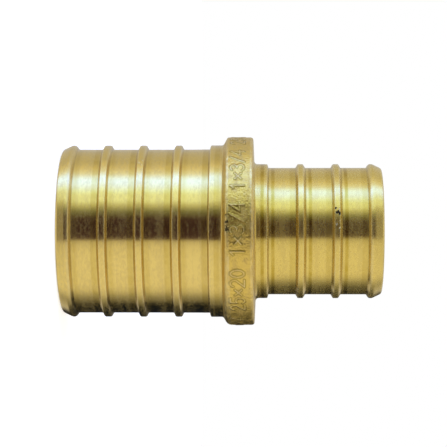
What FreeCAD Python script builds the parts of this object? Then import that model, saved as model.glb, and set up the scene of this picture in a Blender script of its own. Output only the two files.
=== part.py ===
import FreeCAD, Part

# Reducing coupling for crimped plastic pipe: one brass blank, forged at the collar, turned and drilled.
# It stands on its large end. The axis is +Z, and the origin is the centre of the large end face.

import math
import os
from enum import IntEnum

import Sketcher

NODE = "reducing_coupling"

# Driving dimensions, in millimetres and degrees
# Along a barb, widths and lengths are counted from its own end face, where the pipe goes on.
SIZES = {
    # Large barb, for the wider pipe
    "LargeBarbLength": 20.45,
    "LargeRibDiameter": 21.95,
    "LargeGrooveDepth": 0.52,
    "LargeWall": 1.455,
    "LargeNoseLength": 1.2,
    "LargeNoseDrop": 0.555,
    "LargeEndRibWidth": 1.93,
    "LargeEndRibFlank": 0.38,
    "LargeEndGrooveWidth": 3.18,
    "LargeRibCount": 3,
    "LargeRibWidth": 1.26,
    "LargeRibFlank": 0.26,
    "LargeLandGrooveWidth": 3.33,
    "LargeLandLength": 1.72,
    # Small barb, for the narrower pipe
    "SmallBarbLength": 16.0,
    "SmallRibDiameter": 17.14,
    "SmallGrooveDepth": 0.485,
    "SmallWall": 1.335,
    "SmallNoseLength": 1.2,
    "SmallNoseDrop": 0.57,
    "SmallEndRibWidth": 1.95,
    "SmallEndRibFlank": 0.33,
    "SmallEndGrooveWidth": 3.25,
    "SmallRibCount": 2,
    "SmallRibWidth": 1.25,
    "SmallRibFlank": 0.3,
    "SmallLandGrooveWidth": 3.42,
    "SmallLandLength": 1.64,
    # Edges of both barbs
    "LandFlank": 0.15,
    "RibRound": 0.15,
    "EndCrestRound": 0.35,
    "NoseCrestRound": 0.6,
    "NoseRound": 0.38,
    # Collar between the barbs, which rises above the large ribs and slopes towards them
    "CollarWidth": 4.1,
    "CollarRise": 1.09,
    "CollarSlope": 0.55,
    "CollarDraft": 0.15,
    "CollarSlopeRound": 0.5,
    "CollarFaceRound": 0.35,
    "CollarFootRound": 0.4,
    # Waterway: the wide bore stops level with the collar's start, in the cone of its drill's point
    "DrillPointAngle": 118,
    "MouthChamfer": 0.3,
}

# Heights and radii are expressions on the sheet, so that the sketches follow it.
ZERO = "0"
TOTAL_LENGTH = "(Sizes.LargeBarbLength + Sizes.CollarWidth + Sizes.SmallBarbLength)"
COLLAR_START = "Sizes.LargeBarbLength"
COLLAR_END = "(Sizes.LargeBarbLength + Sizes.CollarWidth)"
RIM = "(Sizes.LargeRibDiameter / 2 + Sizes.CollarRise)"

FULL_TURN = 360
VOLUME_TOLERANCE = 0.001


class Axis(IntEnum):
    """The sketcher's numbers for its own axes. The horizontal one starts at the origin."""
    ACROSS = -1
    ALONG = -2


class End(IntEnum):
    """The sketcher's numbers for the two ends of a line or an arc. A lone point has only the first."""
    START = 1
    FINISH = 2


doc = FreeCAD.newDocument("ReducingCoupling")


def fill_sheet():
    """Writes each driving dimension on a row of its own, with its name as the alias."""
    made = doc.addObject("Spreadsheet::Sheet", "Sizes")
    for row, (alias, number) in enumerate(SIZES.items(), start=1):
        made.set(f"A{row}", alias)
        made.set(f"B{row}", str(number))
        made.setAlias(f"B{row}", alias)
    doc.recompute()
    return made


sheet = fill_sheet()
body = doc.addObject("PartDesign::Body", NODE)
body.Label = NODE


def value_of(expression):
    """The number that an expression on the sheet stands for."""
    return float(sheet.evalExpression(expression))


def crest(barb):
    """Radius of the ribs and the land."""
    return f"Sizes.{barb}RibDiameter / 2"


def groove(barb):
    """Radius of the barrel between the ribs."""
    return f"({crest(barb)} - Sizes.{barb}GrooveDepth)"


def bore(barb):
    """Radius of the waterway through a barb."""
    return f"({groove(barb)} - Sizes.{barb}Wall)"


def height(barb, distance):
    """Height of a point at a distance from the barb's own end face."""
    return distance if barb == "Large" else f"{TOTAL_LENGTH} - ({distance})"


def origin_feature(role):
    """One of the body's own origin planes and axes."""
    return next(feature for feature in body.Origin.OriginFeatures if feature.Role == role)


def rounding(before, here, after, size):
    """The arc that rounds a corner, with where it leaves the first line and where it meets the second."""
    back, ahead = (before - here).normalize(), (after - here).normalize()
    half = back.getAngle(ahead) / 2
    centre = here + (back + ahead).normalize() * (size / math.sin(half))
    leaves, meets = (here + way * (size / math.tan(half)) for way in (back, ahead))
    turns_left = back.cross(ahead).z < 0
    first, last = (leaves, meets) if turns_left else (meets, leaves)
    angles = [math.atan2(point.y - centre.y, point.x - centre.x) for point in (first, last)]
    arc = Part.ArcOfCircle(Part.Circle(centre, FreeCAD.Vector(0, 0, 1), size), *angles)
    return arc, leaves, meets, turns_left


def hold_point(sketch, item, corner):
    """Ties the start of an item to its radius and height, or to an axis of the sketch where one is zero."""
    origin = (Axis.ACROSS, End.START)
    for direction, expression, axis in zip(("DistanceX", "DistanceY"), corner, (Axis.ALONG, Axis.ACROSS)):
        if expression == ZERO:
            sketch.addConstraint(Sketcher.Constraint("PointOnObject", item, End.START, axis))
        else:
            held = Sketcher.Constraint(direction, *origin, item, End.START, value_of(expression))
            sketch.setExpression(f"Constraints[{sketch.addConstraint(held)}]", expression)


def join_round(sketch, lines, corner, drawn):
    """Joins two lines by an arc. A construction point keeps the place of the corner that it rounds."""
    across, up, size = corner
    arc_shape, point, turns_left = drawn
    arc = sketch.addGeometry(arc_shape, False)
    sharp = sketch.addGeometry(Part.Point(point), True)
    arc_ends = (End.START, End.FINISH) if turns_left else (End.FINISH, End.START)
    for line, line_end, arc_end in zip(lines, (End.FINISH, End.START), arc_ends):
        sketch.addConstraint(Sketcher.Constraint("Tangent", line, line_end, arc, arc_end))
        sketch.addConstraint(Sketcher.Constraint("PointOnObject", sharp, End.START, line))
    number = sketch.addConstraint(Sketcher.Constraint("Radius", arc, value_of(f"Sizes.{size}")))
    sketch.setExpression(f"Constraints[{number}]", f"Sizes.{size}")
    hold_point(sketch, sharp, (across, up))


def half_section(name, corners):
    """Draws a closed outline in the XZ plane. A corner is a radius, a height and at times a rounding."""
    sketch = body.newObject("Sketcher::SketchObject", name)
    sketch.AttachmentSupport = [(origin_feature("XZ_Plane"), "")]
    sketch.MapMode = "FlatFace"
    count = len(corners)
    points = [FreeCAD.Vector(value_of(across), value_of(up), 0) for across, up, *_ in corners]
    arrivals, departures, arcs = list(points), list(points), {}
    for i, (_, _, *rounded_by) in enumerate(corners):
        for alias in rounded_by:
            size = value_of(f"Sizes.{alias}")
            after = points[(i + 1) % count]
            arc, arrivals[i], departures[i], turns_left = rounding(points[i - 1], points[i], after, size)
            arcs[i] = (arc, points[i], turns_left)
    for i in range(count):
        sketch.addGeometry(Part.LineSegment(departures[i], arrivals[(i + 1) % count]), False)
    for i, corner in enumerate(corners):
        before = (i - 1) % count
        if i in arcs:
            join_round(sketch, (before, i), corner, arcs[i])
        else:
            sketch.addConstraint(Sketcher.Constraint("Coincident", before, End.FINISH, i, End.START))
            hold_point(sketch, i, corner)
    return sketch


def turned(kind, name, corners):
    """Turns a half section once round the axis, to add metal or to cut it."""
    sketch = half_section(name + "Outline", corners)
    feature = body.newObject(kind, name)
    feature.Profile = sketch
    feature.ReferenceAxis = (sketch, ["V_Axis"])
    feature.Angle = FULL_TURN
    doc.recompute()
    if sketch.solve() != 0 or not sketch.FullyConstrained:
        raise RuntimeError(f"{sketch.Label} isn't fully held")
    return feature


def add_barrel(barb):
    """The plain tube of a barb, from under the crest of its end rib to the collar."""
    tip_end = height(barb, f"Sizes.{barb}NoseLength")
    root = height(barb, f"Sizes.{barb}BarbLength")
    corners = [(ZERO, tip_end), (groove(barb), tip_end), (groove(barb), root), (ZERO, root)]
    turned("PartDesign::Revolution", f"{barb}Barrel", corners)


def land_corners(barb):
    """The band at rib height that stands against the collar."""
    foot = f"Sizes.{barb}BarbLength - Sizes.{barb}LandLength"
    return [
        (ZERO, height(barb, foot)),
        (groove(barb), height(barb, foot)),
        (crest(barb), height(barb, f"{foot} + Sizes.LandFlank"), "RibRound"),
    ]


def add_collar():
    """The stop between the pipes, with a land on each side. One face slopes and the other drafts a little."""
    corners = [
        *land_corners("Large"),
        (crest("Large"), COLLAR_START, "CollarFootRound"),
        (RIM, f"{COLLAR_START} + Sizes.CollarSlope", "CollarSlopeRound"),
        (RIM, f"{COLLAR_END} - Sizes.CollarDraft", "CollarFaceRound"),
        (crest("Small"), COLLAR_END, "CollarFootRound"),
        *reversed(land_corners("Small")),
    ]
    turned("PartDesign::Revolution", "Collar", corners)


def add_end_rib(barb):
    """The rib at the pipe's end runs into a tapered nose that guides the pipe on."""
    crest_end = height(barb, f"Sizes.{barb}EndRibWidth - Sizes.{barb}EndRibFlank")
    foot = height(barb, f"Sizes.{barb}EndRibWidth")
    corners = [
        (ZERO, height(barb, ZERO)),
        (f"{crest(barb)} - Sizes.{barb}NoseDrop", height(barb, ZERO), "NoseRound"),
        (crest(barb), height(barb, f"Sizes.{barb}NoseLength"), "NoseCrestRound"),
        (crest(barb), crest_end, "EndCrestRound"),
        (groove(barb), foot),
        (ZERO, foot),
    ]
    turned("PartDesign::Revolution", f"{barb}EndRib", corners)


def add_ribs(barb):
    """The other ribs: the first is drawn, and the rest fill the barb evenly up to the land's groove."""
    near = f"Sizes.{barb}EndRibWidth + Sizes.{barb}EndGrooveWidth"
    far = f"{near} + Sizes.{barb}RibWidth"
    corners = [
        (ZERO, height(barb, near)),
        (groove(barb), height(barb, near)),
        (crest(barb), height(barb, f"{near} + Sizes.{barb}RibFlank"), "RibRound"),
        (crest(barb), height(barb, f"{far} - Sizes.{barb}RibFlank"), "RibRound"),
        (groove(barb), height(barb, far)),
        (ZERO, height(barb, far)),
    ]
    rib = turned("PartDesign::Revolution", f"{barb}Rib", corners)
    last = f"Sizes.{barb}BarbLength - Sizes.{barb}LandLength - Sizes.{barb}LandGrooveWidth"
    row = body.newObject("PartDesign::LinearPattern", f"{barb}Ribs")
    row.Originals = [rib]
    row.Direction = (origin_feature("Z_Axis"), [""])
    row.Reversed = barb == "Small"
    row.setExpression("Occurrences", f"Sizes.{barb}RibCount")
    row.setExpression("Length", f"{last} - ({far})")
    body.Tip = row
    doc.recompute()


def cut_waterway():
    """Both bores in one cut. The cone between them lies under the collar, where the metal is thick."""
    wide, narrow = bore("Large"), bore("Small")
    cone = f"({wide} - {narrow}) / tan(Sizes.DrillPointAngle * 1 deg / 2)"
    corners = [
        (ZERO, ZERO),
        (f"{wide} + Sizes.MouthChamfer", ZERO),
        (wide, "Sizes.MouthChamfer"),
        (wide, COLLAR_START),
        (narrow, f"{COLLAR_START} + {cone}"),
        (narrow, f"{TOTAL_LENGTH} - Sizes.MouthChamfer"),
        (f"{narrow} + Sizes.MouthChamfer", TOTAL_LENGTH),
        (ZERO, TOTAL_LENGTH),
    ]
    solid = body.Tip.Shape.Volume
    waterway = turned("PartDesign::Groove", "Waterway", corners)
    cut = solid - waterway.Shape.Volume
    expected = waterway.AddSubShape.Volume
    if abs(cut - expected) > expected * VOLUME_TOLERANCE:
        raise RuntimeError(f"the waterway cut {cut:.1f} cubic mm and not {expected:.1f}")
    print(f"waterway: {cut:.1f} cubic mm cut")


def check(made):
    """Stops before anything is written if an object failed or the solid isn't whole."""
    for thing in doc.Objects:
        if "Invalid" in thing.State or "Error" in thing.State:
            raise RuntimeError(f"{thing.Label} failed: {thing.State}")
    shape = made.Shape
    if shape.isNull() or not shape.isValid() or len(shape.Solids) != 1:
        raise RuntimeError(f"{made.Label} isn't one whole solid")


for barb in ("Large", "Small"):
    add_barrel(barb)
    add_end_rib(barb)
    add_ribs(barb)
    if barb == "Large":
        add_collar()
cut_waterway()
doc.recompute()
check(body)

os.makedirs("parts", exist_ok=True)
body.Shape.exportStep(f"parts/{NODE}.step")
box = body.Shape.optimalBoundingBox()
print(f"{NODE}: {box.XLength:.2f} x {box.YLength:.2f} x {box.ZLength:.2f} mm")
print(f"volume: {body.Shape.Volume:.1f} cubic mm")
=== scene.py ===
# %% [markdown]
# # A brass reducing coupling
#
# The real thing is one piece of brass. It joins a wide and a narrow plastic pipe: each pipe is pushed over
# a ribbed barb up to the collar, and a metal ring is crimped round it. The collar keeps the rough skin of
# the forging, and the barbs and the waterway are turned on a lathe.
#
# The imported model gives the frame: metres, the axis along Z, the large end on the floor at Z = 0. It is a
# plain solid, so this script builds the visible piece over it with the numerals, the skin and the finishes.

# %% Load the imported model
import math
from collections import namedtuple

import bpy
import numpy as np
from mathutils import Matrix, Vector, noise


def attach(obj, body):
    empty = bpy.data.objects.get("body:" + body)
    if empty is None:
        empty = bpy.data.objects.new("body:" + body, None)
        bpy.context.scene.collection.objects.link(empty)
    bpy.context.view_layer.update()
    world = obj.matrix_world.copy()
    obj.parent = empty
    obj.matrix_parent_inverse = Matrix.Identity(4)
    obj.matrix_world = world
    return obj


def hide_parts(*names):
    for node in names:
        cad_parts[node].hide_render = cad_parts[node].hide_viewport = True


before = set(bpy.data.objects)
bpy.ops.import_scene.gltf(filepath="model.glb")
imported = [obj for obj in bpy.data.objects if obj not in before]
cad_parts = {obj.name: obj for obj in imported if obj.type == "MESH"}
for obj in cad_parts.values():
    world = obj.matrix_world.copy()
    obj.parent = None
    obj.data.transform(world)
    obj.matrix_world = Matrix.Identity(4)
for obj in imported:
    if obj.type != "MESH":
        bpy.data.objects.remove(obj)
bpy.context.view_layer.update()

NODE = "reducing_coupling"

# %% [markdown]
# ## Sizes
#
# A turned piece is known by its half section: how far out the metal is at each height. Both barbs have the
# same features in the same order, so they share one list of names, and each has its own sizes. Lengths are
# in millimetres, as on a drawing, and are counted along a barb from its own end face.

# %% Sizes of the barbs, the collar and the waterway
MM = 0.001

Barb = namedtuple("Barb", [
    "length", "crest", "groove_depth", "wall", "nose_length", "nose_drop", "end_rib_width", "end_rib_flank",
    "end_groove_width", "ribs", "rib_width", "rib_flank", "land_groove_width", "land_length"])

LARGE = Barb(
    length=20.45, crest=10.975, groove_depth=0.52, wall=1.455, nose_length=1.2, nose_drop=0.555,
    end_rib_width=1.93, end_rib_flank=0.38, end_groove_width=3.18, ribs=3, rib_width=1.26, rib_flank=0.26,
    land_groove_width=3.33, land_length=1.72)

SMALL = Barb(
    length=16.0, crest=8.57, groove_depth=0.485, wall=1.335, nose_length=1.2, nose_drop=0.57,
    end_rib_width=1.95, end_rib_flank=0.33, end_groove_width=3.25, ribs=2, rib_width=1.25, rib_flank=0.3,
    land_groove_width=3.42, land_length=1.64)

COLLAR_WIDTH = 4.1
COLLAR_RIM = LARGE.crest + 1.09
COLLAR_SLOPE = 0.55
COLLAR_DRAFT = 0.15
COLLAR_START = LARGE.length
COLLAR_END = COLLAR_START + COLLAR_WIDTH
TOTAL_LENGTH = COLLAR_END + SMALL.length

LARGE_BORE = LARGE.crest - LARGE.groove_depth - LARGE.wall
SMALL_BORE = SMALL.crest - SMALL.groove_depth - SMALL.wall
DRILL_POINT_ANGLE = 118
MOUTH_CHAMFER = 0.3

print(f"length {TOTAL_LENGTH:.2f} mm, rim {COLLAR_RIM:.3f} mm")
print(f"bores {LARGE_BORE:.2f} and {SMALL_BORE:.2f} mm")

# %% [markdown]
# ## The half section
#
# No edge on a real turned part is perfectly sharp, and it is the tiny round on each edge that catches the
# light. So each corner of the outline has a radius, even the feet of the ribs, where the tool's nose leaves
# a fillet. A corner also says what it is: a worn crest that also gets a painted highlight, a foot that gets
# painted shade, a foot that doesn't, or none of these. The finishes use that later.

# %% Corners of one barb
FOOT_FILLET = 0.08
LAND_FLANK = 0.15
RIB_ROUND = 0.15
END_CREST_ROUND = 0.35
NOSE_CREST_ROUND = 0.6
NOSE_ROUND = 0.38
# Corners of the one foot kind get painted shade in the finish, and those of the other foot kind don't.
CREST, FOOT, UNSHADED_FOOT, PLAIN = "crest", "foot", "unshaded foot", "plain"

Corner = namedtuple("Corner", ["along", "radius", "rounding", "kind"])


def rib_starts(barb):
    """Where each rib between the end rib and the land begins. They are spaced evenly."""
    first = barb.end_rib_width + barb.end_groove_width
    last = barb.length - barb.land_length - barb.land_groove_width - barb.rib_width
    return [first + (last - first) * i / (barb.ribs - 1) for i in range(barb.ribs)]


def barb_corners(barb):
    """The corners of a barb, from its end face to the foot of its land."""
    crest, groove = barb.crest, barb.crest - barb.groove_depth
    corners = [
        Corner(0, crest - barb.nose_drop, NOSE_ROUND, CREST),
        Corner(barb.nose_length, crest, NOSE_CREST_ROUND, PLAIN),
        Corner(barb.end_rib_width - barb.end_rib_flank, crest, END_CREST_ROUND, CREST),
        Corner(barb.end_rib_width, groove, FOOT_FILLET, FOOT),
    ]
    for start in rib_starts(barb):
        end = start + barb.rib_width
        corners += [
            Corner(start, groove, FOOT_FILLET, FOOT),
            Corner(start + barb.rib_flank, crest, RIB_ROUND, CREST),
            Corner(end - barb.rib_flank, crest, RIB_ROUND, CREST),
            Corner(end, groove, FOOT_FILLET, FOOT),
        ]
    land = barb.length - barb.land_length
    corners += [
        Corner(land, groove, FOOT_FILLET, FOOT),
        Corner(land + LAND_FLANK, crest, RIB_ROUND, CREST),
    ]
    return corners


print("ribs start at", [round(start, 2) for start in rib_starts(LARGE)], "and",
      [round(TOTAL_LENGTH - start, 2) for start in rib_starts(SMALL)], "mm from the floor and up")

# %% Corners of the collar and the waterway
COLLAR_FOOT_ROUND = 0.4
COLLAR_FACE_ROUND = 0.35
MOUTH_ROUND = 0.08


def collar_corners(slope_round):
    """The collar, with a slope towards the large barb and a steep face towards the small one."""
    return [
        Corner(COLLAR_START, LARGE.crest, COLLAR_FOOT_ROUND, UNSHADED_FOOT),
        Corner(COLLAR_START + COLLAR_SLOPE, COLLAR_RIM, slope_round, CREST),
        Corner(COLLAR_END - COLLAR_DRAFT, COLLAR_RIM, COLLAR_FACE_ROUND, CREST),
        Corner(COLLAR_END, SMALL.crest, COLLAR_FOOT_ROUND, UNSHADED_FOOT),
    ]


def waterway_corners():
    """The bore from the small end back to the large end, with the drill's cone between its two widths."""
    cone = (LARGE_BORE - SMALL_BORE) / math.tan(math.radians(DRILL_POINT_ANGLE / 2))
    return [
        Corner(TOTAL_LENGTH, SMALL_BORE + MOUTH_CHAMFER, MOUTH_ROUND, CREST),
        Corner(TOTAL_LENGTH - MOUTH_CHAMFER, SMALL_BORE, MOUTH_ROUND, PLAIN),
        Corner(COLLAR_START + cone, SMALL_BORE, MOUTH_ROUND, PLAIN),
        Corner(COLLAR_START, LARGE_BORE, MOUTH_ROUND, PLAIN),
        Corner(MOUTH_CHAMFER, LARGE_BORE, MOUTH_ROUND, PLAIN),
        Corner(0, LARGE_BORE + MOUTH_CHAMFER, MOUTH_ROUND, CREST),
    ]


def half_section(slope_round):
    """All corners in order: up the large barb, over the collar, up the small barb and down the bore."""
    small = [corner._replace(along=TOTAL_LENGTH - corner.along) for corner in barb_corners(SMALL)]
    return [*barb_corners(LARGE), *collar_corners(slope_round), *reversed(small), *waterway_corners()]


print(len(half_section(COLLAR_FACE_ROUND)), "corners in the half section")

# %% [markdown]
# ## From corners to rows
#
# The mesh will be rings of points round the axis, one ring for each row of the half section. A round is cut
# into a few rows, and a row is added just beside it. Without that row the smooth shading would spread over
# the whole flat next to the round, and the metal would look like melted wax. On the collar's rim the rows
# lie close together, because the raised numerals need them.

# %% Rows along the half section
ARC_STEP = math.radians(24)
HOLD = 0.07
RUN_STEP = 0.5
BORE_STEP = 3.0
RIM_STEP = 0.095

Row = namedtuple("Row", ["along", "radius", "kind"])


def as_point(spot):
    """Where a corner or a row lies in the half section."""
    return Vector((spot.along, spot.radius))


def arc_rows(before, here, after):
    """The rows of one rounded corner."""
    point = as_point(here)
    back = (as_point(before) - point).normalized()
    ahead = (as_point(after) - point).normalized()
    half = back.angle(ahead) / 2
    centre = point + (back + ahead).normalized() * (here.rounding / math.sin(half))
    first = point + back * (here.rounding / math.tan(half)) - centre
    last = point + ahead * (here.rounding / math.tan(half)) - centre
    turn = first.angle_signed(last)
    steps = max(2, math.ceil(abs(turn) / ARC_STEP))
    turned = [centre + Matrix.Rotation(-turn * i / steps, 2) @ first for i in range(steps + 1)]
    return [Row(spot.x, spot.y, here.kind) for spot in turned]


def in_waterway(spot):
    """Whether a corner or a row lies in the waterway. Its wide part ends under the collar."""
    return spot.radius <= (LARGE_BORE if spot.along < COLLAR_START + COLLAR_WIDTH / 2 else SMALL_BORE)


def steps_between(corner, next_corner):
    """How many steps the run between two corners has. It doesn't depend on how round they are."""
    length = math.dist((corner.along, corner.radius), (next_corner.along, next_corner.radius))
    step = BORE_STEP if in_waterway(corner) else RUN_STEP
    if corner.radius == next_corner.radius == COLLAR_RIM:
        step = RIM_STEP
    return max(1, round(length / step))


def run_rows(arc, next_arc, count):
    """The rows on the straight run between two rounds: one beside each round, and even ones between."""
    start, end = as_point(arc[-1]), as_point(next_arc[0])
    way = (end - start).normalized()
    inner = (end - start).length - 2 * HOLD
    if inner < HOLD:
        return []
    spots = [start + way * (HOLD + inner * i / count) for i in range(count + 1)]
    return [Row(spot.x, spot.y, PLAIN) for spot in spots]


def section_rows(slope_round):
    """Every row of the half section, as a closed loop."""
    corners = half_section(slope_round)
    count = len(corners)
    arcs = [arc_rows(corners[i - 1], corners[i], corners[(i + 1) % count]) for i in range(count)]
    rows = []
    for i, arc in enumerate(arcs):
        following = (i + 1) % count
        rows += [*arc, *run_rows(arc, arcs[following], steps_between(corners[i], corners[following]))]
    return rows


print(len(section_rows(COLLAR_FACE_ROUND)), "rows in the half section")

# %% [markdown]
# ## Numerals on the collar
#
# A forging die has its marks cut into it, so they stand up from the collar as soft ridges. Here they are
# plain size numbers, set round the rim. Text objects could be bent and joined on with booleans, but that
# leaves a ragged mesh. Instead each numeral is a few strokes, and the height of the rim at any point comes
# from its distance to the nearest stroke. The strokes are drawn on a cell one unit high.

# %% Strokes of the numerals
SIGN_WIDTH = 1.3
BOW_STEPS = 10


def line(*points):
    """A stroke through the given points."""
    return [tuple(point) for point in points]


def bow(centre, width, height, start, end):
    """A stroke along part of an ellipse, with its angles in degrees."""
    angles = [math.radians(start + (end - start) * i / BOW_STEPS) for i in range(BOW_STEPS + 1)]
    return [(centre[0] + width * math.cos(angle), centre[1] + height * math.sin(angle)) for angle in angles]


NUMERALS = {
    "0": [bow((0.3, 0.5), 0.27, 0.5, 0, 360)],
    "1": [line((0.12, 0.78), (0.32, 1.0), (0.32, 0.0))],
    "2": [bow((0.3, 0.71), 0.26, 0.29, 165, -30) + line((0.04, 0.0)), line((0.04, 0.0), (0.58, 0.0))],
    "3": [bow((0.27, 0.76), 0.25, 0.24, 150, -90), bow((0.27, 0.26), 0.29, 0.26, 90, -150)],
    "4": [line((0.44, 0.0), (0.44, 1.0), (0.02, 0.32), (0.6, 0.32))],
    "5": [line((0.54, 1.0), (0.12, 1.0), (0.08, 0.55)), bow((0.28, 0.32), 0.28, 0.32, 130, -150)],
    "/": [line((0.04, -0.02), (0.56, 1.02))],
    "x": [line((0.06, 0.2), (0.54, 0.68)), line((0.06, 0.68), (0.54, 0.2))],
}
MARKS = ["1x3/4", "25x20", "1x3/4"] * 3

print("numerals drawn:", " ".join(NUMERALS))

# %% Strokes laid round the rim
CAP_HEIGHT = 1.75
BASELINE = COLLAR_START + 2.84
FIRST_MARK_ANGLE = math.radians(-95)
RIM_LENGTH = 2 * math.pi * COLLAR_RIM


def mark_strokes():
    """The strokes of all marks, in millimetres round and up the rim, with a space after each mark."""
    line_of_signs = "".join(mark + " " for mark in MARKS)
    advance = RIM_LENGTH / len(line_of_signs)
    strokes = []
    for i, sign in enumerate(line_of_signs):
        across = FIRST_MARK_ANGLE * COLLAR_RIM + i * advance
        for stroke in NUMERALS.get(sign, []):
            strokes.append([(across + x * SIGN_WIDTH * advance, y * CAP_HEIGHT) for x, y in stroke])
    return strokes


def short_way(distance, length):
    """A distance along a closed loop, measured the short way."""
    return (distance + length / 2) % length - length / 2


def distance_to_strokes(across, up, strokes):
    """The distance of every point to the nearest stroke, measured round the rim the short way."""
    nearest = np.full(across.shape, np.inf)
    for stroke in strokes:
        for (x1, y1), (x2, y2) in zip(stroke, stroke[1:]):
            dx, dy = x2 - x1, y2 - y1
            px, py = short_way(across - x1, RIM_LENGTH), up - y1
            share = np.clip((px * dx + py * dy) / (dx * dx + dy * dy), 0, 1)
            nearest = np.minimum(nearest, np.hypot(px - share * dx, py - share * dy))
    return nearest


strokes = mark_strokes()
print(len(strokes), "strokes round the rim")

# %% [markdown]
# ## The skin of the forging
#
# The collar was never turned, so it is uneven where the die was worn, with a few dents from handling. Its
# edge towards the large barb is crisp on one side and well rounded on the other, as if the blank sat a
# little askew. All of this is real relief in the mesh, because a bump in the material would vanish at the
# outline. The marks stand up to the rim of the CAD solid, and the ground lies just below it.

# %% Relief of the collar
MARK_RISE = 0.065
MARK_WEAR = 0.2
MARK_WEAR_SIZE = 2.5
STROKE_WIDTH = 0.2
STROKE_SHOULDER = 0.34
SWELL = 0.022
SWELL_SIZE = 1.1
GRAIN = 0.006
GRAIN_SIZE = 0.32

Dent = namedtuple("Dent", ["angle", "along", "size", "depth"])
DENTS = [
    Dent(math.radians(47.6), COLLAR_START + 0.57, 0.26, 0.09),
    Dent(math.radians(0.6), COLLAR_START + 0.91, 0.2, 0.07),
    Dent(math.radians(-34), COLLAR_END - 0.5, 0.22, 0.04),
    Dent(math.radians(141), COLLAR_START + 0.6, 0.3, 0.06),
    Dent(math.radians(-118), COLLAR_END - 0.4, 0.28, 0.06),
]


def smooth_step(share):
    """Rises from 0 to 1 with a soft start and end."""
    share = np.clip(share, 0, 1)
    return share * share * (3 - 2 * share)


def lumps(x, y, along, size):
    """A smooth noise at every point, with lumps of a given size."""
    return np.array([noise.noise(Vector(spot) / size) for spot in zip(x, y, along)])


def mark_share(angle, along):
    """1 on top of a mark and 0 on the ground beside it. In places the marks are worn down."""
    distance = distance_to_strokes(angle * COLLAR_RIM, BASELINE - along, strokes)
    wear = np.abs(lumps(COLLAR_RIM * np.cos(angle), COLLAR_RIM * np.sin(angle), along, MARK_WEAR_SIZE))
    share = smooth_step((STROKE_WIDTH / 2 + STROKE_SHOULDER / 2 - distance) / STROKE_SHOULDER)
    return share * (1 - MARK_WEAR * wear)


def skin_relief(x, y, along):
    """The unevenness of the forged skin: a broad swell and a fine grain."""
    return SWELL * lumps(x, y, along, SWELL_SIZE) + GRAIN * lumps(x, y, along, GRAIN_SIZE)


def dent_relief(angle, along):
    """The dents pressed into the collar's edges."""
    relief = np.zeros(angle.shape)
    for dent in DENTS:
        turn = short_way(angle - dent.angle, 2 * math.pi)
        away = np.hypot(turn * COLLAR_RIM, along - dent.along) / dent.size
        relief -= dent.depth * np.exp(-away ** 2)
    return relief


print(f"marks stand {MARK_RISE} mm out, the skin swells by {SWELL} mm, {len(DENTS)} dents")

# %% [markdown]
# ## Rings of points
#
# A Screw modifier would turn one outline into a solid, but every ring would have the same number of points.
# The numerals need six times as many as the barbs do. So the rings are made here, coarse on the barbs and
# fine on the collar, and many-sided faces stitch a fine ring to a coarse one on the flat of the land. The
# angle is counted from the side that faces the camera.

# %% Make the rings
COARSE = 128
FINE = 768
FINE_MARGIN = 0.7
CRISP_ROUND = 0.25
SOFT_ROUND = 0.8
END_LEAN = 0.16
LEAN_FADE = 0.25


def on_collar(row, margin=0.0):
    """Whether a row is on the outside of the collar, or within a margin of it."""
    return not in_waterway(row) and COLLAR_START - margin < row.along < COLLAR_END + margin


def ring_angles(count):
    """Evenly spaced angles round the axis."""
    return np.arange(count) * (2 * math.pi / count)


def around(angle, radius):
    """The X and Y of points, from their angle and their distance to the axis."""
    return -radius * np.sin(angle), -radius * np.cos(angle)


def plain_ring(row):
    """A round ring of a barb or the waterway. It has no marks."""
    return *around(ring_angles(COARSE), row.radius), np.full(COARSE, row.along), np.zeros(COARSE)


def end_lean(angle, along):
    """How far back the collar's end face lies. The forging left it a little out of square."""
    onset = smooth_step((along - COLLAR_START) / COLLAR_WIDTH)
    fade = smooth_step((COLLAR_END + FINE_MARGIN - along) / LEAN_FADE)
    return END_LEAN * (1 + np.sin(angle)) / 2 * onset * fade


def collar_ring(crisp, soft):
    """A ring of the collar, between its crisp and its soft outline, with all its relief, and its marks."""
    angle = ring_angles(FINE)
    softness = (1 - np.sin(angle)) / 2
    along = crisp.along + (soft.along - crisp.along) * softness
    radius = crisp.radius + (soft.radius - crisp.radius) * softness
    height = np.clip((radius - LARGE.crest) / (COLLAR_RIM - LARGE.crest), 0, 1)
    marks = height * mark_share(angle, along)
    ground = MARK_RISE * (marks - 1) + dent_relief(angle, along)
    skin = np.minimum(skin_relief(*around(angle, radius), along) - SWELL / 2, 0)
    radius = radius + height * np.minimum(ground + skin, 0)
    return *around(angle, radius), along - end_lean(angle, along), marks


crisp_rows = section_rows(CRISP_ROUND)
soft_rows = section_rows(SOFT_ROUND)
rings, marks = [], []
for crisp, soft in zip(crisp_rows, soft_rows, strict=True):
    fine = on_collar(crisp, FINE_MARGIN)
    *places, share = collar_ring(crisp, soft) if fine else plain_ring(crisp)
    rings.append(np.column_stack(places))
    marks.append(share)
print(f"{len(rings)} rings, {sum(len(ring) == FINE for ring in rings)} of them fine")

# %% Join the rings into one closed mesh
def ring_faces(start, count, next_start, next_count):
    """The faces between two rings, wound so that they look outwards."""
    columns = min(count, next_count)
    near, far = count // columns, next_count // columns
    faces = []
    for column in range(columns):
        first = [start + (column * near + i) % count for i in range(near + 1)]
        second = [next_start + (column * far + i) % next_count for i in range(far + 1)]
        faces.append([*reversed(first), *second])
    return faces


def join_rings(rings):
    """All points and faces, and the row that each face starts from."""
    starts = np.cumsum([0] + [len(ring) for ring in rings])
    faces, rows = [], []
    for i, ring in enumerate(rings):
        following = (i + 1) % len(rings)
        made = ring_faces(int(starts[i]), len(ring), int(starts[following]), len(rings[following]))
        faces += made
        rows += [i] * len(made)
    return np.vstack(rings) * MM, faces, rows


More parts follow.
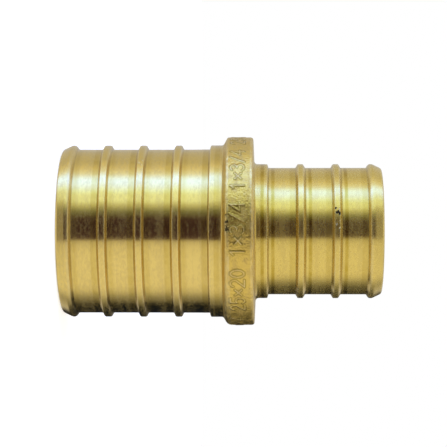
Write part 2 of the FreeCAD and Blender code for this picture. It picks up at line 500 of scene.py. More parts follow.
points, faces, face_rows = join_rings(rings)
mesh = bpy.data.meshes.new("brass_coupling")
mesh.from_pydata(points.tolist(), [], faces)
mesh.polygons.foreach_set("use_smooth", [True] * len(mesh.polygons))
mesh.update()
coupling = bpy.data.objects.new("brass_coupling", mesh)
bpy.context.scene.collection.objects.link(coupling)
triangles = sum(len(face) - 2 for face in faces)
print(f"{len(points)} points, {len(faces)} faces, {triangles} triangles")

# %% Note on the points where the edges, the feet, the end face and the marks are
OUT_OF_REACH = 2.0


def on_end_face(row):
    """Whether a row is on the collar's steep face towards the small barb."""
    return on_collar(row) and row.along > COLLAR_END - COLLAR_DRAFT


def past_foot(row, feet, side):
    """How far a row lies past the nearest foot below it (side 1) or above it (side -1)."""
    level = [foot for foot in feet if abs(foot.radius - row.radius) < FOOT_FILLET]
    ways = [side * (row.along - foot.along) for foot in level]
    return min([OUT_OF_REACH, *(way for way in ways if way >= 0)])


def write_points(name, values):
    """Writes one number on each point of the mesh."""
    mesh.attributes.new(name, "FLOAT", "POINT").data.foreach_set("value", values)
    print(f"{name}: from {min(values):.2f} to {max(values):.2f}")


def write_rows(name, values):
    """Writes one number for each row on all the points of its ring."""
    write_points(name, np.repeat(values, [len(ring) for ring in rings]))


feet = [row for row in crisp_rows if row.kind in (FOOT, UNSHADED_FOOT)]
# Edges get rubbed wear and a painted highlight later.
write_rows("edge", [float(row.kind == CREST) for row in crisp_rows])
# Feet of the shaded kind get painted shade later.
write_rows("foot", [float(row.kind == FOOT) for row in crisp_rows])
write_rows("end_face", [float(on_end_face(row)) for row in crisp_rows])
# Distances past the feet, for the bands of painted shade beside them.
write_rows("past_lower_foot", [past_foot(row, feet, 1) for row in crisp_rows])
write_rows("past_upper_foot", [past_foot(row, feet, -1) for row in crisp_rows])
write_points("mark", np.concatenate(marks))

# %% [markdown]
# ## Small tools for shader nodes
#
# Every finish below is a tree of nodes. Short helpers keep the trees readable: they place a node and fill
# its sockets, do a sum, mix colours, make a cloudy noise, or read a note from the mesh. A socket takes
# either a plain value or the output of another node.

# %% Node helpers
MIX_SHARE, MIX_FIRST, MIX_SECOND, MIX_RESULT = 0, 6, 7, 2


def feed(tree, socket, value):
    """Links a socket to another node's output, or sets its plain value."""
    if isinstance(value, bpy.types.NodeSocket):
        tree.links.new(value, socket)
    else:
        socket.default_value = value


def place(tree, kind, sockets=None, **settings):
    """Adds a node with its settings, and feeds the sockets that are named."""
    made = tree.nodes.new(kind)
    for name, value in settings.items():
        setattr(made, name, value)
    for name, value in (sockets or {}).items():
        feed(tree, made.inputs[name], value)
    return made


def maths(tree, operation, *values, clamp=False):
    """The result of one sum."""
    made = place(tree, "ShaderNodeMath", operation=operation, use_clamp=clamp)
    for socket, value in zip(made.inputs, values):
        feed(tree, socket, value)
    return made.outputs[0]


def mix_colours(tree, share, first, second):
    """The first colour where the share is 0, and the second where it is 1."""
    made = place(tree, "ShaderNodeMix", data_type="RGBA")
    for index, value in ((MIX_SHARE, share), (MIX_FIRST, first), (MIX_SECOND, second)):
        feed(tree, made.inputs[index], value)
    return made.outputs[MIX_RESULT]


def remap(tree, value, low, high):
    """A soft step from 0 to 1 as the value goes from low to high."""
    sockets = {"Value": value, "From Min": low, "From Max": high}
    return place(tree, "ShaderNodeMapRange", sockets, interpolation_type="SMOOTHSTEP").outputs[0]


def make_cloud(tree, spot, scale, detail):
    """A noise with a number of blobs to the millimetre."""
    sockets = {"Vector": spot, "Scale": scale, "Detail": detail}
    return place(tree, "ShaderNodeTexNoise", sockets).outputs[0]


def read_note(tree, name):
    """What was noted under a name on the points of the mesh."""
    return place(tree, "ShaderNodeAttribute", attribute_name=name).outputs["Fac"]


def start_group(name, inputs, outputs):
    """A new node group with its sockets, and its input and output nodes."""
    tree = bpy.data.node_groups.new(name, "ShaderNodeTree")
    for title, value in inputs.items():
        kind = "NodeSocketFloat" if isinstance(value, float) else "NodeSocketVector"
        tree.interface.new_socket(title, in_out="INPUT", socket_type=kind).default_value = value
    for title in outputs:
        tree.interface.new_socket(title, in_out="OUTPUT", socket_type="NodeSocketFloat")
    return tree, tree.nodes.new("NodeGroupInput").outputs, tree.nodes.new("NodeGroupOutput").inputs


def use_group(tree, group, **values):
    """Places a group in a material with its own values, and gives its outputs."""
    made = place(tree, "ShaderNodeGroup", node_tree=group)
    for name, value in values.items():
        feed(tree, made.inputs[name.replace("_", " ")], value)
    return made.outputs


def spot_in_mm(tree):
    """The point on the piece in millimetres."""
    where = place(tree, "ShaderNodeTexCoord").outputs["Object"]
    sockets = {"Vector": where, "Scale": 1 / MM}
    return place(tree, "ShaderNodeVectorMath", sockets, operation="SCALE").outputs[0]


print("node helpers ready")

# %% [markdown]
# ## Turning marks
#
# A lathe tool leaves a fine spiral that looks like rings. It could be a texture of straight lines, but the
# lines must follow the part over its noses and across its end faces too. Height plus radius does that: it
# changes along every surface of a turned part. Noise along that line gives rings of uneven depth, and
# a little of the direction round the axis keeps a ring from being perfect.

# %% The turning marks group
BROADER = 5


def make_turning_marks():
    """Rings round the axis, fine and coarse, as a height from 0 to 1."""
    tree, given, out = start_group("turning_marks", {"Spacing": 0.2, "Wander": 0.5}, ["Height", "Broad"])
    x, y, height = place(tree, "ShaderNodeSeparateXYZ", {"Vector": spot_in_mm(tree)}).outputs
    squares = [maths(tree, "MULTIPLY", side, side) for side in (x, y)]
    radius = maths(tree, "SQRT", maths(tree, "ADD", *squares))
    ways = [maths(tree, "DIVIDE", side, radius) for side in (x, y)]
    across, ahead = (maths(tree, "MULTIPLY", way, given["Wander"]) for way in ways)
    run = maths(tree, "ADD", height, radius)
    for name, coarser in (("Height", 1), ("Broad", BROADER)):
        rings = maths(tree, "DIVIDE", run, maths(tree, "MULTIPLY", given["Spacing"], coarser))
        lines = place(tree, "ShaderNodeCombineXYZ", {"X": across, "Y": ahead, "Z": rings}).outputs[0]
        feed(tree, out[name], make_cloud(tree, lines, scale=1.0, detail=2.0))
    return tree


turning_marks = make_turning_marks()
print("turning marks:", [socket.name for socket in turning_marks.interface.items_tree])

# %% [markdown]
# ## Tarnish and specks
#
# Handled brass darkens in cloudy patches towards a reddish brown, with small dark specks where damp sat.
# The film is a soft noise, the patches are where it is thickest, and the specks are a much finer noise
# that is cut off high. All are drawn out a little round the axis, as on a piece that was wiped while it
# turned.

# %% The tarnish group
SQUEEZE = (1, 1, 1.8)
TOP_LIMIT, LIMIT_DROP, PATCH_EDGE = 0.8, 0.5, 0.16


def thickest_parts(tree, cloud, amount):
    """A mask for the thickest parts of a cloud. The amount says how much of it they cover."""
    limit = maths(tree, "SUBTRACT", TOP_LIMIT, maths(tree, "MULTIPLY", amount, LIMIT_DROP))
    return remap(tree, cloud, limit, maths(tree, "ADD", limit, PATCH_EDGE))


def make_tarnish():
    """A cloud for the film, a mask for its thick patches and one for specks."""
    sockets = {"Patch Size": 3.0, "Cover": 0.5, "Speck Size": 0.3, "Specks": 0.3}
    tree, given, out = start_group("tarnish", sockets, ["Cloud", "Patches", "Dots"])
    spot = place(tree, "ShaderNodeMapping", {"Vector": spot_in_mm(tree), "Scale": SQUEEZE}).outputs[0]
    cloud = make_cloud(tree, spot, maths(tree, "DIVIDE", 1.0, given["Patch Size"]), detail=2.0)
    fine_cloud = make_cloud(tree, spot, maths(tree, "DIVIDE", 1.0, given["Speck Size"]), detail=1.0)
    feed(tree, out["Cloud"], cloud)
    feed(tree, out["Patches"], thickest_parts(tree, cloud, given["Cover"]))
    feed(tree, out["Dots"], thickest_parts(tree, fine_cloud, given["Specks"]))
    return tree


tarnish = make_tarnish()
print("tarnish:", [socket.name for socket in tarnish.interface.items_tree])

# %% [markdown]
# ## Worn edges, and painted shade at the feet
#
# A rib's edge is rubbed by every pipe that is tried on it, and it also gets a painted highlight. The
# corner at its foot is darkened with painted shade, and beside the foot lies a band of painted shade, a
# deeper yellow, on both sides of a rib. The mesh knows how far each point is from a foot, so the masks come
# from there. Noise breaks them all up into uneven lines.

# %% The edge wear and painted shade group
UPPER_SPAN = (0.05, 0.72, 0.1)
GAP_LEVELS = (0.35, 0.65)


def shade_band_mask(tree, name, start, end, softness):
    """A mask for the points whose distance past a foot lies in a span with soft ends."""
    past = read_note(tree, name)
    before = maths(tree, "MULTIPLY", softness, -1.0)
    ways = [maths(tree, "SUBTRACT", past, side) for side in (start, end)]
    begun, over = (remap(tree, way, before, softness) for way in ways)
    return maths(tree, "SUBTRACT", begun, over)


def make_edge_wear_and_shade():
    """A mask for rubbed edges with a painted highlight, one for painted shade in the corners, and one for
    the bands of painted shade beside them.
    """
    sockets = {
        "Patchiness": 0.5, "Size": 0.8, "Upper Stain": 0.5, "Lower Stain": 0.5, "Start": 0.0,
        "Reach": 0.7, "Softness": 0.1,
    }
    tree, given, out = start_group("edge_wear_and_shade", sockets, ["Rubbed", "Foot Shade", "Shade Bands"])
    cloud = make_cloud(tree, spot_in_mm(tree), maths(tree, "DIVIDE", 1.0, given["Size"]), detail=3.0)
    patches = remap(tree, cloud, *GAP_LEVELS)
    gaps = maths(tree, "SUBTRACT", 1.0, maths(tree, "MULTIPLY", patches, given["Patchiness"]))
    # Rubbed edges, partly a painted highlight.
    feed(tree, out["Rubbed"], maths(tree, "MULTIPLY", read_note(tree, "edge"), gaps))
    # Painted shade in the corner at each foot.
    feed(tree, out["Foot Shade"], maths(tree, "MULTIPLY", read_note(tree, "foot"), gaps))
    # Bands of painted shade beside the feet, above and below.
    upper = shade_band_mask(tree, "past_upper_foot", *UPPER_SPAN)
    lower = shade_band_mask(tree, "past_lower_foot", given["Start"], given["Reach"], given["Softness"])
    bands = [maths(tree, "MULTIPLY", upper, given["Upper Stain"]),
             maths(tree, "MULTIPLY", lower, given["Lower Stain"])]
    feed(tree, out["Shade Bands"], maths(tree, "MULTIPLY", maths(tree, "MAXIMUM", *bands), gaps))
    return tree


edge_wear_and_shade = make_edge_wear_and_shade()
print("edge wear and shade:", [socket.name for socket in edge_wear_and_shade.interface.items_tree])

# %% [markdown]
# ## Nicks
#
# A few single marks tell that a part was handled: a dark gouge on one rib, a bright scratch on another, a
# few black pits at the edge of the collar. Each is a small ragged spot at a known place, so one group
# makes them all.

# %% The nick group
RAGGEDNESS = 2.4
NICK_CORE = 0.6

Nick = namedtuple("Nick", ["angle", "along", "reach"])


def make_nick():
    """A ragged spot round a place, given in millimetres."""
    tree, given, out = start_group("nick", {"Place": (0, 0, 0), "Reach": 0.3}, ["Mask"])
    spot = spot_in_mm(tree)
    ragged = make_cloud(tree, spot, scale=5.0, detail=3.0)
    sockets = {0: spot, 1: given["Place"]}
    away = place(tree, "ShaderNodeVectorMath", sockets, operation="DISTANCE").outputs["Value"]
    share = maths(tree, "DIVIDE", away, given["Reach"])
    torn = maths(tree, "MULTIPLY_ADD", ragged, RAGGEDNESS, -RAGGEDNESS / 2)
    outside = remap(tree, maths(tree, "ADD", share, torn), NICK_CORE, 1.0)
    feed(tree, out["Mask"], maths(tree, "SUBTRACT", 1.0, outside))
    return tree


def nick_masks(tree, radius, nicks):
    """Masks for nicks. Each has its angle in degrees off the camera's side, its height and its reach."""
    masks = []
    for nick in nicks:
        spot = (*around(math.radians(nick.angle), radius), nick.along)
        masks.append(use_group(tree, nick_group, Place=spot, Reach=nick.reach)["Mask"])
    return masks


nick_group = make_nick()
print("nick:", [socket.name for socket in nick_group.interface.items_tree])

# %% [markdown]
# ## Turned brass
#
# Bare brass is all metal: what we see is the room, coloured by the brass. Turning marks spread a reflection
# along the axis and leave it sharp round the part. The Anisotropic socket does that, with a tangent that
# runs round the axis. The bump of the marks adds the fine broken lines on top. A thin mottled film of
# tarnish isn't a metal, so it takes a little off the Metallic socket. It can be seen only where the room
# is dark.

# %% Colours of the brass
CLEAN_BRASS = (0.72, 0.53, 0.155, 1)
YELLOWED_BRASS = (0.735, 0.54, 0.132, 1)
FORGED_BRASS = (0.69, 0.475, 0.10, 1)
TARNISHED_BRASS = (0.40, 0.235, 0.095, 1)
# Painted shade, a deeper yellow beside the rib feet and round the marks.
PAINTED_SHADE_BRASS = (0.50, 0.34, 0.045, 1)
# Rubbed brass, also laid as a painted highlight on edges and on the tops of the marks.
RUBBED_AND_HIGHLIGHT_BRASS = (0.84, 0.68, 0.34, 1)
# Grime for the specks, and painted shade at the feet and round the marks.
GRIME_AND_SHADE = (0.11, 0.08, 0.03, 1)
BURNT = (0.025, 0.018, 0.01, 1)
QUARTER_TURN = 0.25


def start_finish(name, roughness, anisotropy):
    """A material with a metal shader, its tangent round the axis, and its node tree."""
    material = bpy.data.materials.new(name)
    material.use_nodes = True
    tree = material.node_tree
    shader = tree.nodes["Principled BSDF"]
    shader.inputs["Metallic"].default_value = 1.0
    shader.inputs["Roughness"].default_value = roughness
    shader.inputs["Anisotropic"].default_value = anisotropy
    shader.inputs["Anisotropic Rotation"].default_value = QUARTER_TURN
    tangent = place(tree, "ShaderNodeTangent", direction_type="RADIAL", axis="Z").outputs[0]
    tree.links.new(tangent, shader.inputs["Tangent"])
    return material, tree, shader


def tint_layers(tree, colour, layers):
    """Lays colours over a base colour, each by a mask and a strength."""
    for mask, strength, over in layers:
        colour = mix_colours(tree, maths(tree, "MULTIPLY", mask, strength, clamp=True), colour, over)
    return colour


def raise_bumps(tree, shader, layers):
    """Adds bumps to a shader, each from a height and a rise in millimetres, or a sink below zero."""
    normal = None
    for height, depth in layers:
        sockets = {"Height": height, "Distance": abs(depth) * MM, "Strength": 1.0}
        bump = place(tree, "ShaderNodeBump", sockets, invert=depth < 0)
        if normal:
            tree.links.new(normal, bump.inputs["Normal"])
        normal = bump.outputs[0]
    tree.links.new(normal, shader.inputs["Normal"])


def spread_film(tree, shader, *parts):
    """Lets a film hide some of the metal. Each part of the film is a mask and how much it hides."""
    shown = 1.0
    for mask, strength in parts:
        shown = maths(tree, "MULTIPLY_ADD", mask, -strength, shown)
    feed(tree, shader.inputs["Metallic"], shown)


MOTTLE_SPAN = (0.8, 1.25)
Film = namedtuple("Film", ["thick", "thin", "size"])


def turned_brass(name, barb, colour, roughness, film, shade_band_settings, foot_shade, dark_nicks=(), bright_nicks=()):
    """The finish of a barb. The shade band settings set the bands of painted shade beside the feet."""
    material, tree, shader = start_finish(name, roughness=roughness, anisotropy=0.9)
    rings = use_group(tree, turning_marks, Spacing=0.16, Wander=0.6)
    patches = use_group(tree, tarnish, Patch_Size=film.size, Cover=0.6, Speck_Size=0.3, Specks=0.1)
    worn = use_group(tree, edge_wear_and_shade, Patchiness=0.35, Size=1.1, **shade_band_settings)
    mottle = remap(tree, maths(tree, "ADD", patches["Cloud"], rings["Broad"]), *MOTTLE_SPAN)
    gouges = nick_masks(tree, barb.crest, dark_nicks)
    scratches = nick_masks(tree, barb.crest, bright_nicks)
    layers = [
        (mottle, 0.08, TARNISHED_BRASS),
        (patches["Dots"], 0.15, GRIME_AND_SHADE),
        # Bands of painted shade, a deeper yellow, beside each rib's foot.
        (worn["Shade Bands"], 1.0, PAINTED_SHADE_BRASS),
        # Painted shade darkens the corner at each rib's foot.
        (worn["Foot Shade"], foot_shade, GRIME_AND_SHADE),
        # Rubbed crests, partly a painted highlight.
        (worn["Rubbed"], 0.2, RUBBED_AND_HIGHLIGHT_BRASS),
        *((mask, 1.0, BURNT) for mask in gouges),
        *((mask, 0.8, RUBBED_AND_HIGHLIGHT_BRASS) for mask in scratches),
    ]
    pits = 0.0
    for mask in gouges + scratches:
        pits = maths(tree, "MAXIMUM", mask, pits)
    feed(tree, shader.inputs["Base Color"], tint_layers(tree, colour, layers))
    feed(tree, shader.inputs["Roughness"], maths(tree, "MULTIPLY_ADD", mottle, 0.04, roughness))
    # No film where the bands of painted shade lie.
    outside_shade_bands = maths(tree, "SUBTRACT", 1.0, worn["Shade Bands"])
    cloudy = maths(tree, "MULTIPLY_ADD", mottle, film.thick - film.thin, film.thin)
    spread_film(tree, shader, (maths(tree, "MULTIPLY", cloudy, outside_shade_bands), 1.0), (worn["Rubbed"], 0.08))
    raise_bumps(tree, shader, [(rings["Height"], 0.003), (rings["Broad"], 0.004), (pits, -0.06)])
    return material


# The settings below give the painted shade beside each rib's foot and in its corner.
wide_barb_brass = turned_brass(
    "turned_brass_wide_barb", LARGE, CLEAN_BRASS, roughness=0.2, foot_shade=0.25,
    film=Film(thick=0.16, thin=0.0, size=0.55),
    shade_band_settings={"Upper_Stain": 0.5, "Lower_Stain": 0.42, "Start": 0.0, "Reach": 0.6, "Softness": 0.35},
    bright_nicks=[Nick(50.9, 10.08, 0.2), Nick(48.4, 10.4, 0.14), Nick(53.4, 10.5, 0.12)])
narrow_barb_brass = turned_brass(
    "turned_brass_narrow_barb", SMALL, YELLOWED_BRASS, roughness=0.25, foot_shade=0.3,
    film=Film(thick=0.23, thin=0.12, size=0.6),
    shade_band_settings={"Upper_Stain": 0.4, "Lower_Stain": 1.0, "Start": 0.28, "Reach": 0.7, "Softness": 0.1},
    dark_nicks=[Nick(16.0, 34.74, 0.28), Nick(15.0, 34.98, 0.24), Nick(19.5, 34.48, 0.15)],
    bright_nicks=[
        Nick(5.9, 34.59, 0.13), Nick(18.8, 34.95, 0.12), Nick(8.4, 35.02, 0.1), Nick(3.2, 35.0, 0.11)])
print("turned finishes:", wide_barb_brass.name, narrow_barb_brass.name)

# %% [markdown]
# ## Forged and bored brass
#
# The collar's skin came from the die, so it has no rings. It is satin, with a fine grain and dark specks,
# and a few black pits at its edge. The waterway was drilled in one pass and never polished: its rings are
# deeper and its shine is dull.

# %% The collar's and the waterway's finish
COLLAR_PITS = [
    Nick(9.0, COLLAR_START + 0.45, 0.3),
    Nick(5.0, COLLAR_START + 0.5, 0.38),
    Nick(1.2, COLLAR_START + 0.6, 0.48),
]
MARK_SHOULDER = ((0.0, 0.15), (0.3, 0.8))
MARK_TOP, MARK_FACE = (0.6, 0.9), (0.5, 0.9)
COLLAR_MOTTLE_SPAN = (0.3, 0.7)


def forged_brass():
    """The satin skin of the collar."""
    material, tree, shader = start_finish("forged_brass_collar", roughness=0.3, anisotropy=0.0)
    patches = use_group(tree, tarnish, Patch_Size=1.4, Cover=0.6, Speck_Size=0.2, Specks=0.35)
    worn = use_group(tree, edge_wear_and_shade, Patchiness=0.6, Size=0.7)
    grain = make_cloud(tree, spot_in_mm(tree), scale=4.0, detail=4.0)
    mottle = remap(tree, patches["Cloud"], *COLLAR_MOTTLE_SPAN)
    end_face = read_note(tree, "end_face")
    mark = read_note(tree, "mark")
    shoulder = maths(tree, "SUBTRACT", *(remap(tree, mark, *span) for span in MARK_SHOULDER))
    layers = [
        (patches["Patches"], 0.15, TARNISHED_BRASS),
        (patches["Dots"], 0.3, GRIME_AND_SHADE),
        # Painted shade on the ground round the foot of each mark, a deeper yellow and a darker brown.
        (shoulder, 0.7, PAINTED_SHADE_BRASS),
        (shoulder, 0.3, GRIME_AND_SHADE),
        # Painted shade at the feet; the collar has almost none.
        (worn["Foot Shade"], 0.2, GRIME_AND_SHADE),
        # Rubbed edges of the collar, partly a painted highlight.
        (worn["Rubbed"], 0.35, RUBBED_AND_HIGHLIGHT_BRASS),
        # Lighter tops of the marks: partly rubbed, partly a painted highlight.
        (remap(tree, mark, *MARK_TOP), 0.6, RUBBED_AND_HIGHLIGHT_BRASS),
        (end_face, 0.5, RUBBED_AND_HIGHLIGHT_BRASS),
        *((pit, 0.85, BURNT) for pit in nick_masks(tree, COLLAR_RIM, COLLAR_PITS)),
    ]
    feed(tree, shader.inputs["Base Color"], tint_layers(tree, FORGED_BRASS, layers))
    feed(tree, shader.inputs["Roughness"], maths(tree, "MULTIPLY_ADD", patches["Patches"], 0.08, 0.3))
    spread_film(tree, shader, (mottle, 0.3), (end_face, 0.3), (remap(tree, mark, *MARK_FACE), 0.5))
    raise_bumps(tree, shader, [(grain, 0.055), (patches["Dots"], -0.02)])
    return material


def bored_brass():
    """The dull rings of the waterway."""
    material, tree, shader = start_finish("bored_brass_waterway", roughness=0.34, anisotropy=0.4)
    rings = use_group(tree, turning_marks, Spacing=0.3, Wander=0.4)
    patches = use_group(tree, tarnish, Patch_Size=4.0, Cover=0.7, Speck_Size=0.4, Specks=0.3)
    layers = [
        (patches["Patches"], 0.6, TARNISHED_BRASS),
        (patches["Dots"], 0.4, GRIME_AND_SHADE),
        (rings["Broad"], 0.25, TARNISHED_BRASS),
    ]
    feed(tree, shader.inputs["Base Color"], tint_layers(tree, CLEAN_BRASS, layers))
    feed(tree, shader.inputs["Roughness"], maths(tree, "MULTIPLY_ADD", rings["Broad"], 0.15, 0.28))
    raise_bumps(tree, shader, [(rings["Height"], 0.012), (rings["Broad"], 0.015)])
    return material


collar_brass = forged_brass()
waterway_brass = bored_brass()
print("other finishes:", collar_brass.name, waterway_brass.name)

# %% Give each stretch of the mesh its finish
FINISHES = [wide_barb_brass, narrow_barb_brass, collar_brass, waterway_brass]


def finish_of(row):
    """The number of the finish for the faces that start at a row."""
    if in_waterway(row):
        return FINISHES.index(waterway_brass)
    if on_collar(row):
        return FINISHES.index(collar_brass)
    return FINISHES.index(wide_barb_brass if row.along < COLLAR_END else narrow_barb_brass)


for finish in FINISHES:
    mesh.materials.append(finish)
mesh.polygons.foreach_set("material_index", [finish_of(crisp_rows[row]) for row in face_rows])
mesh.update()

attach(coupling, "root")
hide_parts(NODE)
print("faces of each finish:", np.bincount([finish_of(crisp_rows[row]) for row in face_rows]).tolist())

# %% [markdown]
# ## The camera
#
# The photograph was taken from close by with a long lens, level with the part and a little past its middle.
# The part lay on its side there. It stands on its large end here, so the camera is rolled instead, until the
# axis runs across the picture.

# %% Place the camera
FRAME_PIXELS = 447
PIXELS_PER_MM = 7.804
CAMERA_DISTANCE = 225 * MM
CAMERA_HEIGHT = 26.55 * MM
AIM = Vector((-0.974, 0, 20.424)) * MM
CAMERA_SEES = (0.01, 10)


def make_camera():
    """A camera that looks along +Y, with +Z to the right of its picture."""
    data = bpy.data.cameras.new("camera")
    camera = bpy.data.objects.new("camera", data)
    bpy.context.scene.collection.objects.link(camera)
    camera.location = (0, -CAMERA_DISTANCE, CAMERA_HEIGHT)
    back = (camera.location - AIM).normalized()
    across = (Vector((0, 0, 1)) - back * back.z).normalized()
    camera.rotation_euler = Matrix((across, back.cross(across), back)).transposed().to_euler()
    data.lens = data.sensor_width * CAMERA_DISTANCE / (FRAME_PIXELS / PIXELS_PER_MM * MM)
    data.clip_start, data.clip_end = CAMERA_SEES
    bpy.context.scene.camera = camera
    return camera


camera = make_camera()
print(f"lens {camera.data.lens:.1f} mm")

# %% [markdown]
# ## The light tent
#
# Shiny metal can't be lit well by a lamp alone: it shows whatever stands round it. Product photographers
# put a tent of white cloth round it, with a slot for the lens. The bright cloth makes the bright bands of
# the brass, the slot makes the dark band along its middle, and a lamp close to the cloth makes the hot
# streak. Here the tent is one ring that glows, and the level of the glow is given for a few angles round
# it. Towards its ends the bands spread out, the dark shadow that the part throws on the table is soon
# over, and the cloth is even. The tent is hidden from the camera, so that any view can look through it.

# %% Helpers for the set round the part
def set_piece(name, finish, points, faces):
    """A piece of the set, and the tree of its material, which shows nothing yet."""
    data = bpy.data.meshes.new(name)
    data.from_pydata(points, [], faces)
    piece = bpy.data.objects.new(name, data)
    bpy.context.scene.collection.objects.link(piece)
    material = bpy.data.materials.new(finish)
    material.use_nodes = True
    tree = material.node_tree
    tree.nodes.remove(tree.nodes["Principled BSDF"])
    data.materials.append(material)
    return piece, tree


def show(tree, shader):
    """Makes a material show a shader."""
    tree.links.new(shader, tree.nodes["Material Output"].inputs["Surface"])


def circle(radius, level, columns):
    """Points of a circle round the axis."""
    turns = [2 * math.pi * column / columns for column in range(columns)]
    return [(radius * math.cos(turn), radius * math.sin(turn), level) for turn in turns]


print("set helpers ready")

# %% Levels round the tent
TENT_RADIUS = 0.5
TENT_TOP, TENT_BOTTOM = 1.3, -1.3
TENT_COLUMNS = 128
EVEN_LEVEL = 0.68
EVEN_FROM, EVEN_TO = 0.7, 2.4
SHADOW_FADE = (0.28, 0.45)
BACK = (math.radians(105), math.radians(140))
BEND = 0.3
TENT_LEVELS = {
    # Below and behind, with the shadow on the table
    -180: 0.5, -172: 0.25, -165: 0.03, -141: 0.02, -121: 0.08, -105: 0.36,
    # Below, up to the slot
    -92: 0.78, -81: 0.97, -60: 1.02, -41: 1.02, -24: 0.93, -15: 0.76,
    # The slot for the lens
    -12.8: 0.66, -11.6: 0.12, -9: 0.06, 8: 0.045, 17: 0.06, 27: 0.23,
    # Above, with the lamp
    36: 0.72, 42: 1.5, 52: 1.6, 57: 2.6, 63: 4.6, 69: 6.0, 75: 6.4, 80: 4.3, 86: 1.85,
    # Above and behind
    97: 0.93, 110: 0.7, 127: 0.66, 151: 0.6,
}
DARK_LEVEL = 0.2
SLOT_EDGE = 20
SLOT_TINT = (1.2, 0.72, 1.2)
LAMP_EDGE = (25, 60)
LAMP_EDGE_TINT = (1.08, 1.22, 1.1)
DAYLIGHT_POWERS = (0.15, 0.4, 1)
AS_IT_IS = (1, 1, 1)


def glow_colour(angle, level):
    """The cloth glows white. Daylight cools its brightest part, and the dark slot shows a reddish room."""
    if level < DARK_LEVEL and abs(angle) < SLOT_EDGE:
        return [level * tint for tint in SLOT_TINT]
    powers = DAYLIGHT_POWERS if level > 1 else AS_IT_IS
    tints = LAMP_EDGE_TINT if LAMP_EDGE[0] < angle < LAMP_EDGE[1] else AS_IT_IS
    return [level ** power * tint for power, tint in zip(powers, tints)]


def tent_glow(tree):
    """The colour and strength of the tent at each point of it."""
    where = place(tree, "ShaderNodeTexCoord").outputs["Object"]
    x, y, along = place(tree, "ShaderNodeSeparateXYZ", {"Vector": where}).outputs
    angle = maths(tree, "ARCTAN2", *(maths(tree, "MULTIPLY", side, -1.0) for side in (x, y)))
    height = maths(tree, "ABSOLUTE", maths(tree, "DIVIDE", along, TENT_RADIUS))
    spread = maths(tree, "MULTIPLY_ADD", maths(tree, "MULTIPLY", height, height), BEND, 1.0)
    turn = maths(tree, "MULTIPLY_ADD", maths(tree, "DIVIDE", angle, spread), 1 / (2 * math.pi), 0.5)
    ramp = place(tree, "ShaderNodeValToRGB", {"Fac": turn})
    stops = ramp.color_ramp.elements
    peak = max(TENT_LEVELS.values())
    for degrees, level in TENT_LEVELS.items():
        share = (degrees + 180) / 360
        stop = stops[0] if share == 0 else stops.new(share)
        stop.color = (*(part / peak for part in glow_colour(degrees, level)), 1)
    stops[-1].color = stops[0].color
    back = remap(tree, maths(tree, "ABSOLUTE", angle), *BACK)
    past_shadow = maths(tree, "MULTIPLY", back, remap(tree, height, *SHADOW_FADE))
    evenness = maths(tree, "MAXIMUM", past_shadow, remap(tree, height, EVEN_FROM, EVEN_TO))
    even = (EVEN_LEVEL / peak, EVEN_LEVEL / peak, EVEN_LEVEL / peak, 1)
    return mix_colours(tree, evenness, ramp.outputs[0], even), peak


def make_tent():
    """A ring round the part that glows inwards."""
    hems = [point for level in (TENT_BOTTOM, TENT_TOP) for point in circle(TENT_RADIUS, level, TENT_COLUMNS)]
    pairs = [(i, (i + 1) % TENT_COLUMNS) for i in range(TENT_COLUMNS)]
    faces = [(i, after, TENT_COLUMNS + after, TENT_COLUMNS + i) for i, after in pairs]
    tent, tree = set_piece("light_tent", "glowing_cloth", hems, faces)
    colour, strength = tent_glow(tree)
    show(tree, place(tree, "ShaderNodeEmission", {"Color": colour, "Strength": strength}).outputs[0])
    tent.visible_camera = False
    return tent


tent = make_tent()
print(f"tent of {len(TENT_LEVELS)} levels, {TENT_RADIUS} m out")

# %% [markdown]
# ## The dark under the wide barb
#
# The wide barb lay close to the table, so its underside shows its own shadow in the gap there and is nearly
# black. That shadow is as long as that barb, and the nose looks past its end at bright cloth. A far wall
# can't do that. A small dark card with soft edges is a painted shadow near the metal; only reflections show
# it.

# %% Place the dark card
# The card is a painted shadow of the part on the table.
CARD_EDGES = [(28.3, 3.6), (11.3, 16.4)]
CARD_COLOUR = (0.008, 0.011, 0.02, 1)
SIDE_FADE, END_FADE = 0.4, 0.15


def soft_mask(tree, share, fade):
    """1 in the middle of a stretch from 0 to 1, and 0 at its ends."""
    return maths(tree, "MULTIPLY", remap(tree, share, 0.0, fade), remap(tree, share, 1.0, 1.0 - fade))


def make_card():
    """A dark card beside the wide barb, a painted shadow which only reflections show."""
    points = [Vector((*edge, level)) * MM for level in (0, COLLAR_END) for edge in CARD_EDGES]
    card, tree = set_piece("painted_shadow_card", "painted_shadow_board", points, [(0, 1, 3, 2)])
    spot = place(tree, "ShaderNodeTexCoord").outputs["Generated"]
    share = place(tree, "ShaderNodeSeparateXYZ", {"Vector": spot}).outputs
    masks = [soft_mask(tree, share["X"], SIDE_FADE), soft_mask(tree, share["Z"], END_FADE)]
    clear = place(tree, "ShaderNodeBsdfTransparent").outputs[0]
    dark = place(tree, "ShaderNodeEmission", {"Color": CARD_COLOUR}).outputs[0]
    sockets = {0: maths(tree, "MULTIPLY", *masks), 1: clear, 2: dark}
    show(tree, place(tree, "ShaderNodeMixShader", sockets).outputs[0])
    card.visible_camera = card.visible_diffuse = card.visible_shadow = card.visible_transmission = False
    return card


card = make_card()
print("card", [round(side, 3) for side in card.dimensions], "m")

# %% [markdown]
# ## Floor and world
#
# The background of the photograph is pure white. A floor lit up to white would flood the part with light,
# so the floor adds some white of its own to what the camera sees, and keeps the part's shadow. From below
# it is clear, so that the underside can be looked at. The world is white to the camera and in reflections,
# and a little less to everything else.

# %% Make the floor and the world
FLOOR_RADIUS = 0.45
FLOOR_COLUMNS = 64
FLOOR_DROP = 0.02 * MM
FLOOR_COLOUR = (0.8, 0.8, 0.8, 1)
FLOOR_OWN_WHITE = 0.6
WORLD_LIGHT = 0.85


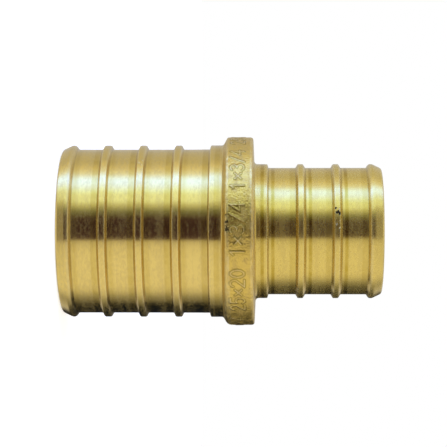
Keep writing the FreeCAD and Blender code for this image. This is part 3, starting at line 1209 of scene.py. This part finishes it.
def seen_directly(tree):
    """1 for rays from the camera, from shiny things and through clear ones, and 0 for the rest."""
    path = place(tree, "ShaderNodeLightPath").outputs
    shiny = maths(tree, "MAXIMUM", path["Is Glossy Ray"], path["Is Transmission Ray"])
    return maths(tree, "MAXIMUM", path["Is Camera Ray"], shiny)


def make_floor():
    """A round white floor that can't be seen from below."""
    rim = circle(FLOOR_RADIUS, 0, FLOOR_COLUMNS)
    floor, tree = set_piece("floor", "white_floor", rim, [range(FLOOR_COLUMNS)])
    floor.location.z = -FLOOR_DROP
    lit = place(tree, "ShaderNodeBsdfDiffuse", {"Color": FLOOR_COLOUR}).outputs[0]
    strength = maths(tree, "MULTIPLY", seen_directly(tree), FLOOR_OWN_WHITE)
    own = place(tree, "ShaderNodeEmission", {"Strength": strength}).outputs[0]
    both = place(tree, "ShaderNodeAddShader", {0: lit, 1: own}).outputs[0]
    below = place(tree, "ShaderNodeNewGeometry").outputs["Backfacing"]
    clear = place(tree, "ShaderNodeBsdfTransparent").outputs[0]
    show(tree, place(tree, "ShaderNodeMixShader", {0: below, 1: both, 2: clear}).outputs[0])
    floor.visible_glossy = False
    return floor


def make_world():
    """A plain white world."""
    world = bpy.data.worlds.new("white_world")
    world.use_nodes = True
    tree = world.node_tree
    strength = maths(tree, "MULTIPLY_ADD", seen_directly(tree), 1 - WORLD_LIGHT, WORLD_LIGHT)
    feed(tree, tree.nodes["Background"].inputs["Color"], (1, 1, 1, 1))
    feed(tree, tree.nodes["Background"].inputs["Strength"], strength)
    bpy.context.scene.world = world
    return world


floor = make_floor()
world = make_world()
bpy.context.scene.view_settings.view_transform = "Standard"
print("floor and world are white")

# %% [markdown]
# ## The volume
#
# The visible piece must not be larger than the CAD solid. The volume inside the mesh is printed as a
# last test: it comes out right only if the mesh is closed and faces outwards.

# %% Print the volume
def enclosed_volume(mesh):
    """The volume inside a closed mesh, which is negative if its faces look inwards."""
    mesh.calc_loop_triangles()
    corners = np.array([
        [mesh.vertices[i].co for i in triangle.vertices] for triangle in mesh.loop_triangles])
    return float(np.einsum("ij,ij->i", corners[:, 0], np.cross(corners[:, 1], corners[:, 2])).sum() / 6)


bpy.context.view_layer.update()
print(f"volume {enclosed_volume(mesh) / MM ** 3:.0f} cubic mm")
